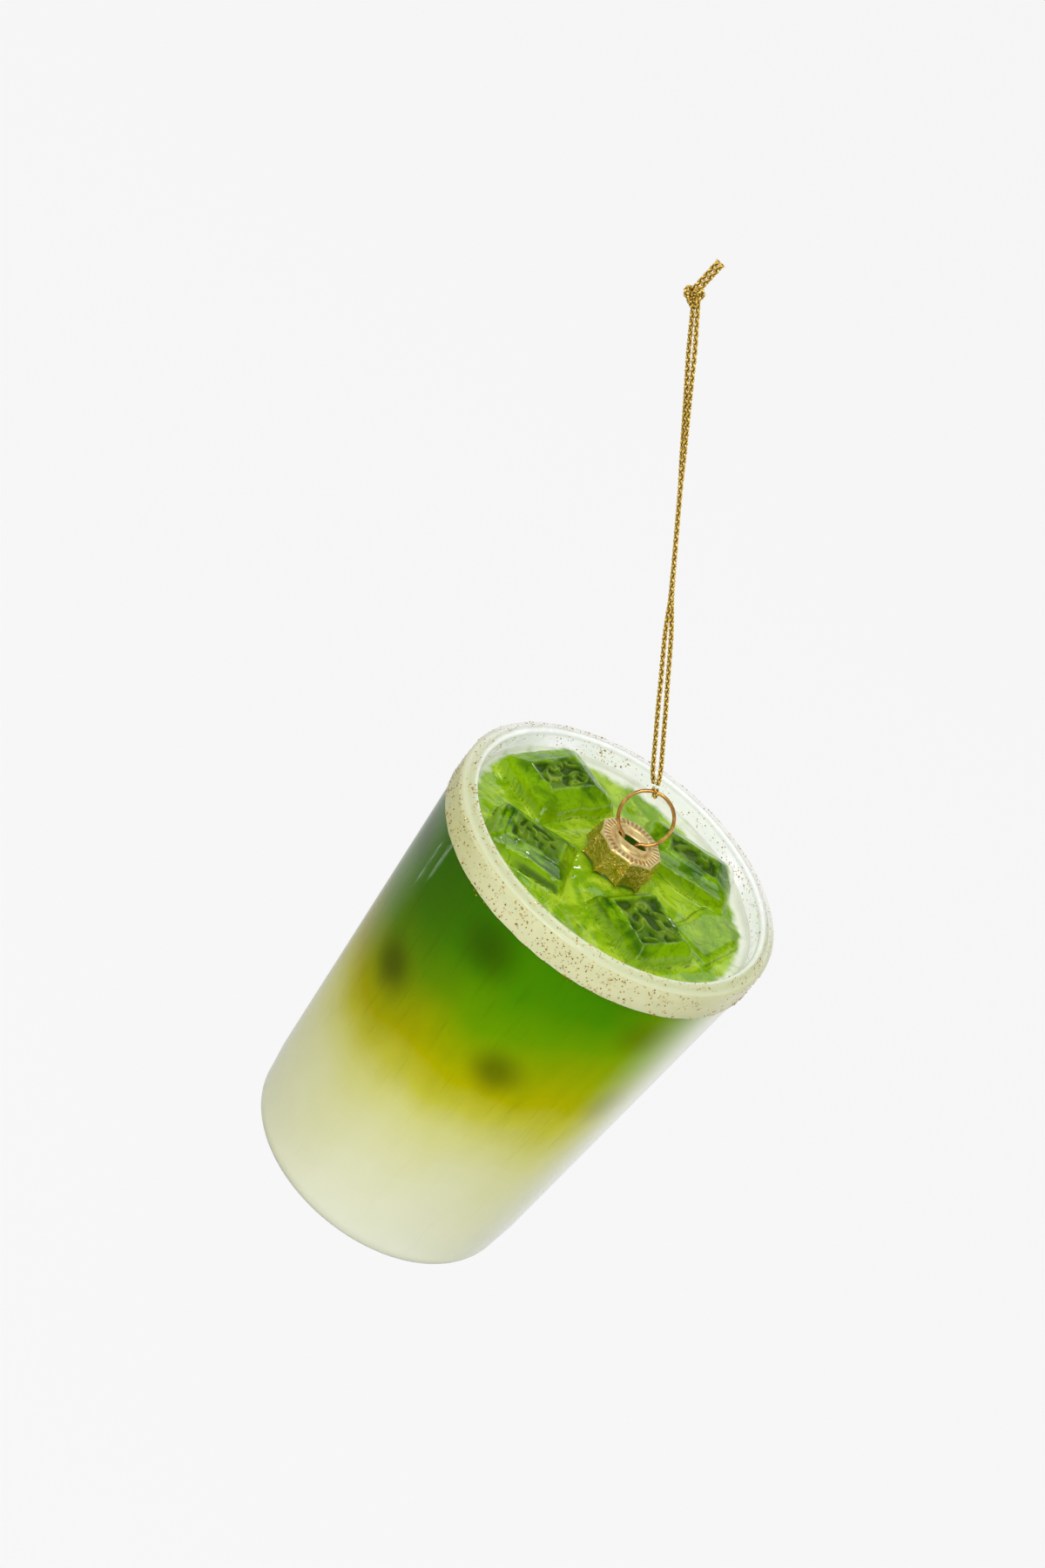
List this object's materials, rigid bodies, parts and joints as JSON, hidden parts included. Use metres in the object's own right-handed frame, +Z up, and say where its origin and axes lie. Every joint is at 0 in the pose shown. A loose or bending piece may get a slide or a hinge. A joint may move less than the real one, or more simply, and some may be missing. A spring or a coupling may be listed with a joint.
{
  "type": "hanging iced-drink ornament",
  "caption": "Blown-glass tumbler of green iced latte with moulded ice cubes, a glitter rim, a crimped gold cap with a wire ring, and a knotted metallic cord loop.",
  "frame": {"origin": "the hang_loop mount: inside the cord loop just under the knot, where a hook or a twig carries the ornament", "axes": "+Z up along the tumbler's axis, from its base to its rim; +X along the cap's slot and the ring's plane, to the right in the picture; -Y to the side that the picture shows"},
  "size_m": [0.0824, 0.067, 0.1788],
  "materials": {
    "painted_glass": "gloss, painted opaque on the inside",
    "glitter_coat": "milky lacquer with fine gold glitter",
    "gold_sheet": "bright gold, stamped",
    "gold_wire": "satin",
    "metallic_cord": "braided metallic yarn"
  },
  "bodies": {
    "cord": {"cord_strand_front": "metallic_cord", "cord_strand_back": "metallic_cord", "cord_knot": "metallic_cord", "cord_tail_left": "metallic_cord", "cord_tail_right": "metallic_cord"},
    "bight": {"cord_bight": "metallic_cord"},
    "hanger": {"wire_hanger": "gold_wire"},
    "cap": {"cap": "gold_sheet"},
    "tumbler": {"glass_body": "painted_glass", "glitter_rim": "glitter_coat"}
  },
  "joints": [
    {"name": "cord_swing", "type": "hinge", "parent": "cord", "child": "bight", "pos_m": [0.04368, -0.02647, -0.06895], "axis": [0.9563, 0.1048, 0.273], "range_deg": [-50, 50]},
    {"name": "ring_slide", "type": "hinge", "parent": "bight", "child": "hanger", "pos_m": [0.04514, -0.02818, -0.07341], "axis": [0, -0.9336, 0.3584], "range_deg": [-38, 76]},
    {"name": "ring_tilt", "type": "hinge", "parent": "hanger", "child": "cap", "pos_m": [0.04514, -0.02995, -0.07803], "axis": [1, 0, 0], "range_deg": [-46, 5]},
    {"name": "cap_swivel", "type": "hinge", "parent": "cap", "child": "tumbler", "pos_m": [0.04554, -0.02995, -0.08208], "axis": [0, 0, 1], "continuous": true}
  ]
}
